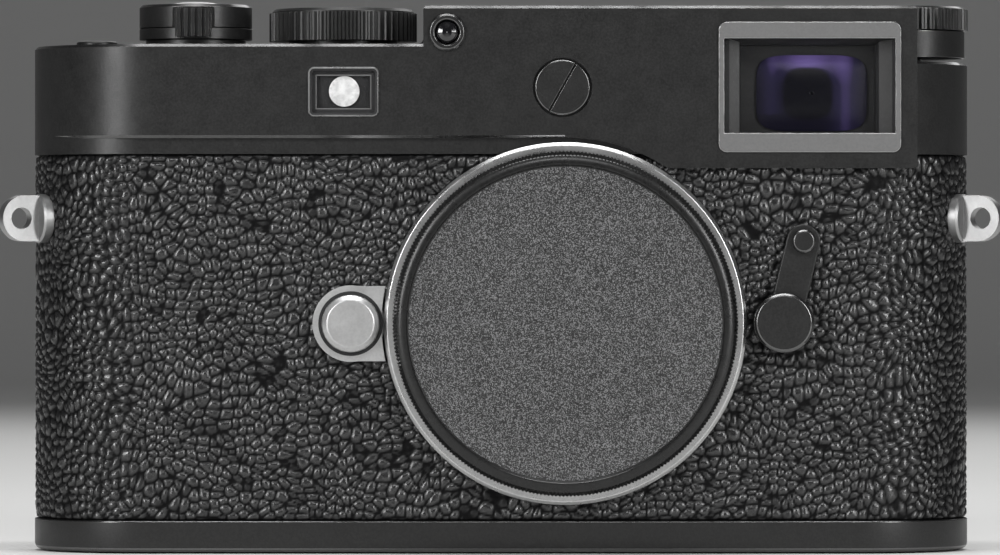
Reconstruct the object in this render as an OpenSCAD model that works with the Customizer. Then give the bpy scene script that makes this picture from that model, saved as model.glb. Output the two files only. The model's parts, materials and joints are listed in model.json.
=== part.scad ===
// Rangefinder camera with a body cap: separate named parts, millimetres.
// X runs along the body, -Y is the front, Z is up; the origin is the tripod socket's mouth.

/* [Body] */
// overall width of the body
body_w = 139; // [110:1:170]
// thickness of the body over the leather
body_t = 34; // [28:0.5:42]
// height of the base plate
base_h = 4.6; // [3:0.1:8]
// height of the leather's top edge
leather_z = 58.5; // [50:0.5:70]
// height of the low deck
deck_z = 74.6; // [68:0.1:90]
// height of the raised finder housing
house_z = 80.2; // [74:0.1:96]
// height of the shoulder beside the housing
shoulder_z = 72.2; // [66:0.1:84]
// leather thickness
leather_t = 0.8; // [0.5:0.1:1.5]
// wall of the body shell
shell_t = 1.2; // [0.8:0.1:2]
// wall of the top cover
cover_t = 1.4; // [1:0.1:2.2]
// how far the top cover's front stands proud
cover_step = 1.2; // [0.4:0.1:2]

/* [Lens mount] */
// lens axis, sideways from the middle
lens_x = 9.4; // [0:0.1:16]
// lens axis height
lens_z = 33.6; // [28:0.1:40]
// lens throat radius
throat_r = 22; // [18:0.1:26]
// mount ring outer radius
mount_r = 26.6; // [24:0.1:32]
// body cap radius
cap_r = 25.3; // [22:0.1:30]
// scallops round the body cap
cap_scallops = 112; // [40:2:140]
// body cap rim height
cap_h = 3.6; // [2:0.1:8]
// lens release button radius
lock_r = 4.2; // [3:0.1:6]
// lens release button, distance from the lens axis
lock_d = 31.4; // [29:0.1:36]

/* [Finder] */
// finder window frame width
vf_w = 26.7; // [20:0.1:32]
// finder window frame height
vf_h = 19.1; // [14:0.1:21]
// finder window centre, sideways
vf_x = 45.25; // [38:0.05:47]
// finder window centre height
vf_z = 68.25; // [66:0.05:70]
// rangefinder window width
rf_w = 10.4; // [7:0.1:14]
// rangefinder window height
rf_h = 7.3; // [5:0.1:10]

/* [Controls] */
// shutter dial radius
dial_r = 10.97; // [8:0.01:12]
// knurls round the shutter dial
dial_knurls = 60; // [24:2:90]
// main switch collar radius
collar_r = 8.35; // [6:0.05:9.5]
// shutter release radius
release_r = 3.75; // [2.5:0.05:5]
// sensitivity dial radius
iso_r = 9.5; // [7:0.1:9.9]
// knurls round the sensitivity dial
iso_knurls = 46; // [24:2:70]
// frame lever length
lever_len = 12.3; // [8:0.1:16]
// strap lug radius
lug_r = 3.6; // [2.5:0.1:5]
// strap lug height
lug_z = 49.1; // [40:0.1:54]

/* [Inside] */
// image sensor width
sensor_w = 36; // [24:1:44]
// image sensor height
sensor_h = 24; // [16:1:33]
// flange to sensor distance
flange_d = 27.8; // [20:0.1:30]
// shutter blade thickness
blade_t = 0.3; // [0.2:0.05:0.4]
// display glass width
disp_w = 68; // [50:1:72]
// display glass height
disp_h = 44; // [30:1:46]
// tripod socket bore radius
tripod_r = 3.175; // [2:0.005:5]

/* [Hidden] */
$fn = 96;
e = 0.01;               // overshoot of a cutting tool
run = 0.08;             // running fit, radial
flat = 0.12;            // sliding fit between flat faces
fix = 0.3;              // air between curved faces of fixed parts
R = body_t / 2;         // end radius and half thickness
cx = body_w / 2 - R;    // centre of an end circle
shell_r = R - leather_t;
bore_r = shell_r - shell_t;
Rf = R + cover_step;    // front of the top cover
cxf = body_w / 2 - Rf - 0.3;
strip_z = leather_z + 2.3;
panel_z = leather_z - 2.1;
house_x0 = -11.4;
house_x1 = 61;
bev = 0.4;              // bright edge bevel
skin = R + 0.05;        // plane of everything set on the leather
flange_y = -19.5;       // front of the mount ring
sensor_y = flange_y + flange_d;
cap_y = flange_y - 0.1;
gate_y = 1;             // back of the chassis, front of the shutter
rel_x = -45.3;
rel_y = -5;
dial_x = -23.5;
dial_y = -2;
iso_x = body_w / 2 - 9.4;
fn_x = -59.8;
fn_y = -8;
lever_x = 41.4;
lever_z = 33.7;
rf_x = -23.1;
rf_z = 67.55;
lamp_x = -7.9;
lamp_z = 76.3;
cov_x = 9;
cov_z = 68.2;
lock_x = lens_x - lock_d;
lock_z = lens_z;
screw_d = 23.6;         // mount screws, distance from the lens axis
pin_d = 23.7;           // lock pin, distance from the lens axis
eye_x = 45.2;
eye_z = 68;
bat_x = -48;
bat_w = 28;
bat_t = 14;
bat_h = 44;
wheel_x = -44;
wheel_r = 7;
wheel_y = R - wheel_r + 1.5;
wheel_z = 62.6;
back_x = 14;            // display centre
back_z = 33;
key_z = 50;
play_x = -29;
menu_x = -41;
pad_x = -35;
pad_z = 33;
pad_r = 8;
lug_a = 25;             // lugs point this far toward the front
blades = 4;
blade_w = sensor_w + 6;
blade_pitch = (sensor_h + 2) / blades;
blade_h = blade_pitch + 1.6;
blade_gap = 0.62;       // from one blade's plane to the next

// ---------- helpers ----------

// A stadium-shaped ring or slab from a half profile [distance from the mid line, height].
module sweep(p, c = cx) {
  for (s = [-1, 1]) translate([s * c, 0, 0]) rotate([0, 0, -90 * s])
    rotate_extrude(angle = 180) polygon(p);
  translate([-c, 0, 0]) rotate([90, 0, 90]) linear_extrude(2 * c) polygon(p);
  translate([c, 0, 0]) rotate([90, 0, -90]) linear_extrude(2 * c) polygon(p);
}
module slab(r, z0, z1) sweep([[0, z0], [r, z0], [r, z1], [0, z1]]);
module ring(r0, r1, z0, z1) sweep([[r0, z0], [r1, z0], [r1, z1], [r0, z1]]);

// A box given by its two corners.
module box(a, b) translate(a) cube(b - a);

// A cylinder along Y at (x, z) from y0 to y1.
module rod(x, z, r, y0, y1) translate([x, y1, z]) rotate([90, 0, 0]) cylinder(y1 - y0, r, r);

// A turned part about the Y axis at (x, z): profile is [radius, y].
module turn(x, z, p) translate([x, 0, z]) rotate([-90, 0, 0]) rotate_extrude() polygon(p);

// A turned part about the Z axis at (x, y): profile is [radius, z].
module lathe(x, y, p) translate([x, y, 0]) rotate_extrude() polygon(p);

// A plate in the XZ plane, drawn as [x, z], from y0 to y1.
module plate(y0, y1) translate([0, y1, 0]) rotate([90, 0, 0]) linear_extrude(y1 - y0) children();

// A rectangle with round corners, centred.
module rrect(w, h, r) {
  square([w, h - 2 * r], center = true);
  square([w - 2 * r, h], center = true);
  for (i = [-1, 1], j = [-1, 1]) translate([i * (w / 2 - r), j * (h / 2 - r)]) circle(r, $fn = 24);
}

// Points of a knurled outline: n ribs of depth d on radius r.
function knurl(n, r, d) = [for (i = [0 : 4 * n - 1])
  let (a = (i + 0.5) * 90 / n, q = i % 4 < 2 ? r : r - d) [q * cos(a), q * sin(a)]];

// A cap thread relief: the three bayonet claws or tabs, sectors of a ring on the Y axis.
module claws(a0, span, r0, r1, y0, y1)
  for (k = [0 : 2]) translate([lens_x, 0, lens_z]) rotate([-90, 0, 0]) translate([0, 0, y0])
    rotate([0, 0, a0 + 120 * k]) rotate_extrude(angle = span)
      polygon([[r0, 0], [r1, 0], [r1, y1 - y0], [r0, y1 - y0]]);

// The round hole of the mount, used to clear panels and leather.
module mount_hole(r) rod(lens_x, lens_z, r, -R - 6, -R + 6);

// Outline of the lens release lobe: round on the left, running into the mount ring.
module lobe_outline(grow = 0) difference() {
  union() {
    translate([lock_x, lock_z]) circle(5.6 + grow);
    translate([lock_x, lock_z - 5.5 - grow]) square([lock_d - 20, 11 + 2 * grow]);
  }
  translate([lens_x, lens_z]) circle(mount_r + fix);
}

// ---------- housing ----------

// Die-cast frame: front plate, lens throat, gate plate, side walls, shelf and battery bay.
module chassis() color([0.55, 0.56, 0.58]) difference() {
  union() {
    box([-30, -bore_r, base_h + 1], [50, -bore_r + 1.5, leather_z - 1]);
    rod(lens_x, lens_z, mount_r - 2 * fix, -skin, -bore_r + 1.5);
    rod(lens_x, lens_z, throat_r + 2, -bore_r + 1, gate_y - 1);
    box([-30, gate_y - 1.6, 9.6], [50, gate_y, leather_z - 1]);
    for (x = [-31.5, 50]) box([x, -bore_r, 1.6], [x + 1.5, 13, leather_z - 1]);
    box([-56, -12, leather_z - 1], [51.5, 12, leather_z + 0.4]);
    box([bat_x - bat_w / 2 - 1.2, -bat_t / 2 - 1.2, 1.7], [-30, bat_t / 2 + 1.2, bat_h + 3.6]);
    for (s = [-1, 1]) box([lens_x + s * 2.1 - 0.5, -9.5, leather_z], [lens_x + s * 2.1 + 0.5, -6.5, leather_z + 3]);
  }
  rod(lens_x, lens_z, throat_r, -R - 1, gate_y - 1.6);
  box([lens_x - sensor_w / 2 - 1, -2, lens_z - sensor_h / 2 - 1],
    [lens_x + sensor_w / 2 + 1, 2, lens_z + sensor_h / 2 + 1]);
  box([bat_x - bat_w / 2 - 0.2, -bat_t / 2 - 0.2, 0], [bat_x + bat_w / 2 + 0.2, bat_t / 2 + 0.2, bat_h + 2.4]);
  // slot and pivot for the rangefinder arm
  box([lens_x - 1.5, -12, lens_z + 15], [lens_x + 1.5, -4, leather_z + 1]);
  translate([lens_x - 4, -8, leather_z + 1.8]) rotate([0, 90, 0]) cylinder(8, 0.8 + run, 0.8 + run);
  // lens lock pin, mount screws, lever shaft, wheel shaft
  rod(lens_x - pin_d, lens_z, 1.1, -R - 1, -bore_r + 1.2);
  for (a = [30 : 60 : 330]) rod(lens_x + screw_d * cos(a), lens_z + screw_d * sin(a), 1.3, -R - 1, -15.4);
  rod(lever_x, lever_z, 1.5 + fix, -R, -bore_r + 3);
  translate([wheel_x, wheel_y, leather_z - 2]) cylinder(4, 1.5 + run, 1.5 + run);
  translate([0, 0, -1]) cylinder(10.4, 8.3, 8.3);
}

// Everything that opens the body's wall: g is the extra room round each hole.
module wall_holes(g) {
  mount_hole(mount_r - fix);
  rod(lock_x, lock_z, 5 + fix, -R - 1, -bore_r + 1);
  rod(lever_x, lever_z, 1.5 + g, -R - 1, -bore_r + 1);
  for (s = [-1, 1]) lug_place(s) rotate([0, 90, 0]) cylinder(30, g == run ? 1.8 + fix : lug_r + fix,
    g == run ? 1.8 + fix : lug_r + fix);
  plate(bore_r - 1, R + 1) translate([back_x, back_z]) square([disp_w + 1 + 2 * flat, disp_h + 1 + 2 * flat], center = true);
  for (x = [play_x, menu_x]) plate(bore_r - 1, R + 1) translate([x, key_z]) rrect(8 + 2 * run, 4.4 + 2 * run, 1.6 + run);
  rod(pad_x, pad_z, pad_r + run, bore_r - 1, R + 1);
}

// Painted shell round the frame.
module body_shell() color([0.12, 0.12, 0.13]) difference() {
  ring(bore_r, shell_r, base_h, leather_z);
  wall_holes(run);
}

// Pebbled leather over the shell.
module leather_wrap() color([0.08, 0.08, 0.09]) difference() {
  ring(shell_r + fix, R, base_h, leather_z);
  wall_holes(fix);
  plate(-R - 1, -8) difference() {
    translate([20, panel_z - 0.1]) square([house_x1 - 20 + 0.1, 5]);
    translate([lens_x, lens_z]) circle(mount_r + 0.6);
  }
}

// Shallow tray that closes the body below.
module base_plate() color([0.1, 0.1, 0.11]) difference() {
  sweep([[0, 0], [R - 0.9, 0], [R - 0.45, 0.12], [R - 0.12, 0.45], [R, 0.9], [R, base_h],
    [R - 2, base_h], [R - 2, 1.6], [0, 1.6]]);
  translate([0, 0, -1]) cylinder(4, 6 + fix, 6 + fix);
  box([bat_x - bat_w / 2 - 0.5 - flat, -bat_t / 2 - 0.5 - flat, -1],
    [bat_x + bat_w / 2 + 0.5 + flat, bat_t / 2 + 0.5 + flat, 3]);
  translate([-25, 0, -1]) cylinder(4, 2.6 + run, 2.6 + run);
  box([37.9, -1.9, -1], [47.1, 1.9, 3]);
}

// Outside of the top cover before it is hollowed.
module cover_solid() {
  pf = [[0, strip_z], [Rf - bev, strip_z], [Rf, strip_z + bev], [Rf, deck_z - bev], [Rf - bev, deck_z], [0, deck_z]];
  pb = [[0, strip_z], [R, strip_z], [R, deck_z - bev], [R - bev, deck_z], [0, deck_z]];
  slab(R, leather_z, strip_z);
  // the front's left end swings on the larger radius, so the step fades out
  translate([-cxf, 0, 0]) rotate([0, 0, 180]) rotate_extrude(angle = 90) polygon(pf);
  translate([-cx, 0, 0]) rotate([0, 0, 90]) rotate_extrude(angle = 180) polygon(pb);
  translate([-cxf, 0, 0]) rotate([90, 0, -90]) linear_extrude(cx - cxf) polygon(pb);
  translate([house_x0 + 1, 0, 0]) rotate([90, 0, -90]) linear_extrude(house_x0 + 1 + cxf) polygon(pf);
  translate([-cx, 0, 0]) rotate([90, 0, 90]) linear_extrude(house_x0 + 1 + cx) polygon(pb);
  // right shoulder
  translate([cx, 0, 0]) rotate([0, 0, -90]) rotate_extrude(angle = 180)
    polygon([[0, strip_z], [R, strip_z], [R, shoulder_z - bev], [R - bev, shoulder_z], [0, shoulder_z]]);
  // raised housing
  difference() {
    translate([house_x0, 0, 0]) rotate([90, 0, 90]) linear_extrude(house_x1 - house_x0)
      polygon([[-Rf + bev, strip_z], [-Rf, strip_z + bev], [-Rf, house_z - bev], [-Rf + bev, house_z],
        [R - bev, house_z], [R, house_z - bev], [R, strip_z]]);
    for (m = [[house_x0, 1], [house_x1, -1]]) translate([m[0], 0, house_z]) rotate([90, 0, 0])
      linear_extrude(50, center = true) polygon([[-m[1], e], [m[1] * bev, e], [m[1] * bev, 0], [0, -bev], [-m[1], -bev]]);
    difference() {
      box([cx, 0, strip_z - 1], [house_x1 + 1, R + 2, house_z + 1]);
      translate([cx, 0, strip_z - 2]) cylinder(house_z, R, R);
    }
    translate([iso_x, 0, shoulder_z]) cylinder(20, iso_r + 0.8, iso_r + 0.8);
    box([iso_x, -iso_r - 0.8, shoulder_z], [house_x1 + 1, iso_r + 0.8, house_z + 1]);
  }
  // small fillet at the foot of the housing's left wall
  translate([house_x0, 0, deck_z]) rotate([90, 0, 0]) linear_extrude(R + Rf - 2 * bev - 1, center = true)
    polygon(concat([[e, -e], [e, 0.9]], [for (a = [0 : 15 : 90]) [-0.9 + 0.9 * cos(a), 0.9 - 0.9 * sin(a)]], [[-0.9, -e]]));
  // lower lip of the raised front, on the right
  difference() {
    union() {
      plate(-Rf, -shell_r) polygon(concat([[lens_x, strip_z + bev + 0.5], [lens_x, panel_z]],
        [for (a = [-90 : 15 : 0]) [house_x1 - 0.8 + 0.8 * cos(a), panel_z + 0.8 + 0.8 * sin(a)]],
        [[house_x1, strip_z + bev + 0.5]]));
      plate(-shell_r - e, -11) translate([cx, panel_z]) square([house_x1 - cx, strip_z - panel_z + e]);
    }
    translate([cx, 0, panel_z - 1]) cylinder(leather_z - panel_z + 1, shell_r + fix, shell_r + fix);
    rod(lens_x, lens_z, mount_r + 0.7, -R - 6, -R + 3);
  }
}

// Top cover with its windows, dial holes and shoe recess.
module top_cover() color([0.13, 0.13, 0.14]) difference() {
  cover_solid();
  slab(R - cover_t, leather_z - 1, shoulder_z - cover_t);
  translate([-cx, 0, 0]) rotate([0, 0, 90]) rotate_extrude(angle = 180)
    polygon([[0, leather_z], [R - cover_t, leather_z], [R - cover_t, deck_z - cover_t], [0, deck_z - cover_t]]);
  box([-cx, -R + cover_t, leather_z], [house_x0, R - cover_t, deck_z - cover_t]);
  box([house_x0 - e, -Rf + cover_t, strip_z + 1], [48.4, R - cover_t, deck_z - cover_t + 0.6]);
  box([house_x0 + cover_t, -Rf + cover_t, 70], [48.4, -8.4, house_z - cover_t]);
  box([21.6, -Rf + cover_t, 70], [48.4, R - cover_t, house_z - cover_t]);
  box([48, -Rf + cover_t, leather_z + 1.5], [house_x1 - cover_t, -11.9, house_z - cover_t]);
  // clear the mount
  mount_hole(mount_r - fix);
  rod(lens_x, lens_z, mount_r + 0.7, -R - 6, -R);
  // windows in the front
  plate(-Rf - 1, -15) translate([vf_x, vf_z]) square([vf_w - 1, vf_h - 1], center = true);
  plate(-Rf - 1, -15) translate([rf_x, rf_z]) square([rf_w - 0.5, rf_h - 0.5], center = true);
  plate(-16.8, -15) translate([rf_x, rf_z]) square([rf_w + 1.3, rf_h + 1.3], center = true);
  rod(lamp_x, lamp_z, 2.1 + fix, -Rf - 1, -15);
  rod(cov_x, cov_z, 4.06 + fix, -Rf - 1, -Rf + 0.9);
  // deck
  translate([rel_x, rel_y, deck_z - 3]) cylinder(9, 1.8 + fix, 1.8 + fix);
  translate([dial_x, dial_y, deck_z - 3]) cylinder(9, 2 + run, 2 + run);
  translate([fn_x, fn_y, deck_z - 3]) cylinder(9, 3 + run, 3 + run);
  translate([iso_x, 0, shoulder_z - 3]) cylinder(9, 2.5 + run, 2.5 + run);
  // accessory shoe recess
  box([lens_x - 10.5, -6.9, 76.6], [lens_x + 10.5, R + 1, house_z + 1]);
  // back
  rod(eye_x, eye_z, 5.2 + fix, R - 3, R + 1);
  box([wheel_x - 6.3, R - 3, wheel_z - 2.4], [wheel_x + 6.3, R + 1, wheel_z + 2.4]);
}

// ---------- finder and rangefinder ----------

module finder_frame() color([0.45, 0.45, 0.46]) difference() {
  union() {
    plate(-Rf - 0.4, -Rf) translate([vf_x, vf_z]) rrect(vf_w, vf_h, 1.2);
    plate(-Rf - e, -16.9) translate([vf_x, vf_z]) square([vf_w - 1 - 2 * flat, vf_h - 1 - 2 * flat], center = true);
  }
  plate(-Rf - 1, -16) translate([vf_x, vf_z + 0.2]) square([vf_w - 1.6, vf_h - 5.2], center = true);
}

module finder_glass() color([0.6, 0.7, 0.8, 0.35])
  plate(-17.8, -16.9) translate([vf_x, vf_z + 0.2]) square([vf_w - 1.6 - 2 * flat, vf_h - 5.2 - 2 * flat], center = true);

module finder_tunnel() color([0.2, 0.2, 0.22]) difference() {
  plate(-16.9, -12.1) translate([vf_x, vf_z + 0.1]) square([vf_w - 1, 15], center = true);
  plate(-17.5, -12.8) translate([vf_x - 0.1, vf_z - 0.1]) square([19.9, 12.8], center = true);
  plate(-13, -12) translate([vf_x - 0.2, vf_z - 0.9]) square([7.1, 7.5], center = true);
}

module finder_lens() color([0.35, 0.3, 0.55, 0.5])
  plate(-14, -12.8) translate([vf_x + 0.5, vf_z - 0.75]) rrect(16.3, 11.2, 3);

module finder_block() color([0.7, 0.75, 0.8, 0.4])
  box([30, -11.7, leather_z + 0.4], [48, 15, 74]);

module rangefinder_frame() color([0.75, 0.75, 0.76]) difference() {
  union() {
    plate(-Rf - 0.4, -Rf) translate([rf_x, rf_z]) rrect(rf_w, rf_h, 0.9);
    plate(-Rf - e, -16.8) translate([rf_x, rf_z]) square([rf_w - 0.5 - 2 * flat, rf_h - 0.5 - 2 * flat], center = true);
  }
  plate(-Rf - 1, -16) translate([rf_x, rf_z]) square([rf_w - 1.1, rf_h - 1.1], center = true);
}

module rangefinder_mask() color([0.03, 0.03, 0.03])
  plate(-16.8, -16) translate([rf_x, rf_z]) square([rf_w + 1, rf_h + 1], center = true);

module rangefinder_disc() color([0.93, 0.93, 0.93]) rod(rf_x + 0.1, rf_z + 0.1, 2.24, -17.3, -16.8);

module rangefinder_glass() color([0.6, 0.65, 0.7, 0.35])
  plate(-18.3, -17.5) translate([rf_x, rf_z]) square([rf_w - 1.1 - 2 * flat, rf_h - 1.1 - 2 * flat], center = true);

// Swinging arm that follows the lens, with its pivot pin.
module rangefinder_arm() color([0.6, 0.55, 0.35]) difference() {
  union() {
    box([lens_x - 1, -9, lens_z + 16.4], [lens_x + 1, -7, leather_z + 2.8]);
    translate([lens_x - 2.6, -8, leather_z + 1.8]) rotate([0, 90, 0]) cylinder(5.2, 0.8, 0.8);
  }
  translate([lens_x - 2, -8, lens_z + 17.6]) rotate([0, 90, 0]) cylinder(4, 0.6, 0.6);
}

module arm_roller() color([0.75, 0.75, 0.76]) {
  for (s = [-1, 1]) translate([lens_x + s * 1.7, -8, lens_z + 17.6]) rotate([0, 90, 0])
    cylinder(1.2, 2, 2, center = true);
  translate([lens_x - 1.9, -8, lens_z + 17.6]) rotate([0, 90, 0]) cylinder(3.8, 0.52, 0.52);
}

module lamp_ring() color([0.12, 0.12, 0.13])
  turn(lamp_x, lamp_z, [[1.75, -16.9], [2.1, -16.9], [2.1, -Rf], [2.75, -Rf], [2.75, -Rf - 0.35],
    [2.45, -Rf - 0.65], [1.95, -Rf - 0.65], [1.75, -Rf - 0.45]]);

module lamp_dome() color([0.02, 0.02, 0.02])
  turn(lamp_x, lamp_z, [[0, -17], [1.6, -17], [1.6, -Rf - 0.3], [1.3, -Rf - 0.6], [0.7, -Rf - 0.8], [0, -Rf - 0.85]]);

module cover_screw() color([0.14, 0.14, 0.15]) difference() {
  turn(cov_x, cov_z, [[0, -Rf + 0.9], [4.06, -Rf + 0.9], [4.06, -Rf - 0.1], [3.9, -Rf - 0.25], [0, -Rf - 0.25]]);
  translate([cov_x, -Rf, cov_z]) rotate([0, -60.7, 0]) cube([12, 1.1, 0.26], center = true);
}

// ---------- lens mount, cap, release ----------

module lens_mount() color([0.8, 0.8, 0.81]) difference() {
  union() {
    turn(lens_x, lens_z, [[throat_r, -skin], [mount_r, -skin], [mount_r, flange_y + 0.5],
      [mount_r - 0.5, flange_y], [throat_r, flange_y]]);
    claws(0, 62, throat_r - 0.9, throat_r + 0.5, flange_y, flange_y + 1.2);
  }
  for (a = [30 : 60 : 330]) rod(lens_x + screw_d * cos(a), lens_z + screw_d * sin(a), 1 + fix, -R - 4, -R);
  rod(lens_x - pin_d, lens_z, 0.8 + run, -R - 4, -R);
}

module mount_screws() color([0.7, 0.7, 0.71])
  for (a = [30 : 60 : 330]) rod(lens_x + screw_d * cos(a), lens_z + screw_d * sin(a), 1, flange_y + 0.1, -15.4);

// Push-on cap: knurled rim, chamfered band, flat face, spigot with three tabs.
module body_cap() color([0.09, 0.09, 0.1]) difference() {
  union() {
    translate([lens_x, cap_y, lens_z]) rotate([90, 0, 0]) linear_extrude(cap_h - 0.9)
      polygon(knurl(cap_scallops, cap_r, 0.3));
    turn(lens_x, lens_z, [[0, cap_y - 1], [cap_r - 0.55, cap_y - 1], [cap_r - 0.55, cap_y - cap_h + 0.6],
      [cap_r - 1.2, cap_y - cap_h], [cap_r - 1.8, cap_y - cap_h], [cap_r - 2, cap_y - cap_h + 0.5], [0, cap_y - cap_h + 0.5]]);
    turn(lens_x, lens_z, [[throat_r - 3, cap_y - 0.6], [throat_r - 1.3, cap_y - 0.6], [throat_r - 1.3, -16.5], [throat_r - 3, -16.5]]);
    claws(68, 46, throat_r - 2, throat_r - 0.3, -17.9, -16.7);
  }
  rod(lens_x, lens_z, throat_r - 3, cap_y - cap_h + 2.2, -16);
  rod(lens_x - pin_d, lens_z, 1.1, -21, -19);
  turn(lens_x, lens_z, [[throat_r - 1.3, cap_y - cap_h + 2.2], [cap_r - 1.6, cap_y - cap_h + 2.2], [cap_r - 1.6, cap_y + 1], [throat_r - 1.3, cap_y + 1]]);
}

module lock_housing() color([0.72, 0.72, 0.73]) difference() {
  union() {
    plate(-19.2, -skin) lobe_outline();
    rod(lock_x, lock_z, 5, -skin - e, -bore_r);
  }
  rod(lock_x, lock_z, lock_r + run, -20, -15.8);
}

module lock_button() color([0.75, 0.75, 0.76])
  turn(lock_x, lock_z, [[0, -17.6], [lock_r, -17.6], [lock_r, -20.9], [lock_r - 0.76, -21.5], [0, -21.5]]);

module lock_pin() color([0.75, 0.75, 0.76]) rod(lens_x - pin_d, lens_z, 0.8, -19.9, -15.6);

module lever_place() translate([lever_x, 0, lever_z]) rotate([0, 13.7, 0]) children();

module frame_lever() color([0.12, 0.12, 0.13]) {
  lever_place() plate(-18.8, -17.3) {
    circle(4);
    translate([-2.5, 0]) square([5, lever_len]);
    translate([0, lever_len]) circle(2.5);
  }
  rod(lever_x, lever_z, 1.5, -17.4, -14);
}

module lever_knob() color([0.12, 0.12, 0.13])
  turn(lever_x, lever_z, [[0, -18.8], [4.4, -18.8], [4.4, -20.4], [4, -20.8], [0, -20.8]]);

module lever_grip() color([0.12, 0.12, 0.13]) lever_place()
  turn(0, lever_len, [[0, -18.8], [1.75, -18.8], [1.75, -19.7], [1.45, -20], [0, -20]]);

// ---------- strap lugs ----------

module lug_place(s) translate([s * cx, 0, lug_z]) rotate([0, 0, s > 0 ? -lug_a : 180 + lug_a]) children();

module lug(s) color([0.8, 0.8, 0.81]) lug_place(s) difference() {
  union() {
    translate([bore_r - 1, 0, 0]) rotate([0, 90, 0]) cylinder(shell_r + fix - bore_r + 1.5, 1.8, 1.8);
    translate([shell_r + fix, 0, 0]) rotate([0, 90, 0]) rotate_extrude()
      polygon([[0, 0], [lug_r, 0], [lug_r, 1.2], [lug_r - 0.3, 1.5], [0, 1.5]]);
    translate([0, 1, 0]) rotate([90, 0, 0]) linear_extrude(2) {
      translate([20.2, 0]) circle(3.4);
      translate([17.9, -3.4]) square([2.3, 6.8]);
    }
  }
  translate([20.7, 0, 0]) rotate([90, 0, 0]) cylinder(5, 1.6, 1.6, center = true);
}

// ---------- top controls ----------

module release_base() color([0.12, 0.12, 0.13])
  lathe(rel_x, rel_y, [[1.8 + run, deck_z], [collar_r - 0.95, deck_z], [collar_r - 0.95, deck_z + 0.9],
    [collar_r, deck_z + 0.9], [collar_r, deck_z + 2.6], [4.9, deck_z + 2.6], [4.9, deck_z + 5.3],
    [release_r + 0.1, deck_z + 5.3], [release_r + 0.1, deck_z + 2.5], [1.8 + run, deck_z + 2.5]]);

// Switch collar with its ridged finger tab, which stands in a slot of the rim.
module release_collar() color([0.12, 0.12, 0.13]) {
  difference() {
    lathe(rel_x, rel_y, [[4.9 + run, deck_z + 2.7], [collar_r, deck_z + 2.7], [collar_r, deck_z + 5.7],
      [collar_r - 0.4, deck_z + 6.1], [5.3, deck_z + 6.1], [4.9 + run, deck_z + 5.8]]);
    box([rel_x - 3.1, rel_y - 12, deck_z + 2], [rel_x + 3.1, rel_y - collar_r + 0.65, deck_z + 5.6]);
  }
  translate([rel_x, rel_y - collar_r, 0]) {
    box([-2.7, -1.1, deck_z + 1.2], [2.7, -0.12, deck_z + 5.4]);
    box([-2.7, -0.2, deck_z + 2.8], [2.7, 0.8, deck_z + 5.4]);
    for (i = [-2 : 2]) translate([i * 1.05, -1.1, deck_z + 1.2]) linear_extrude(4.2)
      polygon([[-0.42, 0.05], [-0.24, -0.5], [0.24, -0.5], [0.42, 0.05]]);
  }
}

module release_button() color([0.75, 0.75, 0.76])
  lathe(rel_x, rel_y, [[0, deck_z - 2.5], [1.8, deck_z - 2.5], [1.8, deck_z + 3.4], [release_r, deck_z + 3.4],
    [release_r, deck_z + 5.9], [release_r - 0.5, deck_z + 6.4], [1.6, deck_z + 6.6], [1.3, deck_z + 6.4],
    [1.3, deck_z + 4.2], [0, deck_z + 4.2]]);

module shutter_dial() color([0.12, 0.12, 0.13]) {
  translate([dial_x, dial_y, deck_z + 0.8]) linear_extrude(4.2) polygon(knurl(dial_knurls, dial_r, 0.4));
  lathe(dial_x, dial_y, [[0, deck_z - 3], [2, deck_z - 3], [2, deck_z + 0.15], [8, deck_z + 0.15],
    [8, deck_z + 1], [dial_r - 0.45, deck_z + 1], [dial_r - 0.45, deck_z + 5.2], [dial_r - 0.85, deck_z + 5.6],
    [dial_r - 3.5, deck_z + 5.6], [dial_r - 3.7, deck_z + 5.4], [0, deck_z + 5.4]]);
}

module function_button() color([0.12, 0.12, 0.13])
  lathe(fn_x, fn_y, [[0, deck_z - 2.4], [3.6, deck_z - 2.4], [3.6, deck_z - 1.6], [3, deck_z - 1.6],
    [3, deck_z + 0.45], [2.8, deck_z + 0.65], [0, deck_z + 0.7]]);

// Smooth collar of the sensitivity dial: lifts, and carries the knob on its post.
module iso_stem() color([0.12, 0.12, 0.13])
  lathe(iso_x, 0, [[0, shoulder_z - 6], [2.5, shoulder_z - 6], [2.5, shoulder_z + 0.7], [iso_r - 0.5, shoulder_z + 0.7],
    [iso_r - 0.5, shoulder_z + 4.8], [3, shoulder_z + 4.8], [3, shoulder_z + 7.1], [0, shoulder_z + 7.1]]);

module iso_knob() color([0.12, 0.12, 0.13]) difference() {
  union() {
    translate([iso_x, 0, shoulder_z + 4.9]) linear_extrude(3.1) polygon(knurl(iso_knurls, iso_r, 0.4));
    lathe(iso_x, 0, [[0, shoulder_z + 5], [iso_r - 0.45, shoulder_z + 5], [iso_r - 0.45, shoulder_z + 8.1],
      [iso_r - 0.8, shoulder_z + 8.4], [0, shoulder_z + 8.4]]);
  }
  translate([iso_x, 0, shoulder_z + 4]) cylinder(3.2, 3 + run, 3 + run);
}

// Rails that hold a flash foot.
module accessory_shoe() color([0.7, 0.7, 0.71]) translate([lens_x, 0, 0]) {
  box([-10.4, -6.8, 76.6], [10.4, R - 0.6, 77.2]);
  box([-10.4, -6.8, 77.1], [10.4, -6, 80]);
  for (s = [0, 1]) mirror([s, 0, 0]) {
    box([9.4, -6.8, 77.1], [10.4, R - 0.6, 80]);
    box([6.25, -6, 79.4], [10.4, R - 0.6, 80.3]);
  }
}

// ---------- back ----------

module eyepiece_ring() color([0.1, 0.1, 0.11])
  turn(eye_x, eye_z, [[3.9, R - 1.3], [5.2, R - 1.3], [5.2, R], [6.4, R], [6.4, R + 1.6], [6, R + 2], [5, R + 2],
    [4.6, R + 1.6], [4.6, R - 0.7], [3.9, R - 0.7]]);

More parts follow.
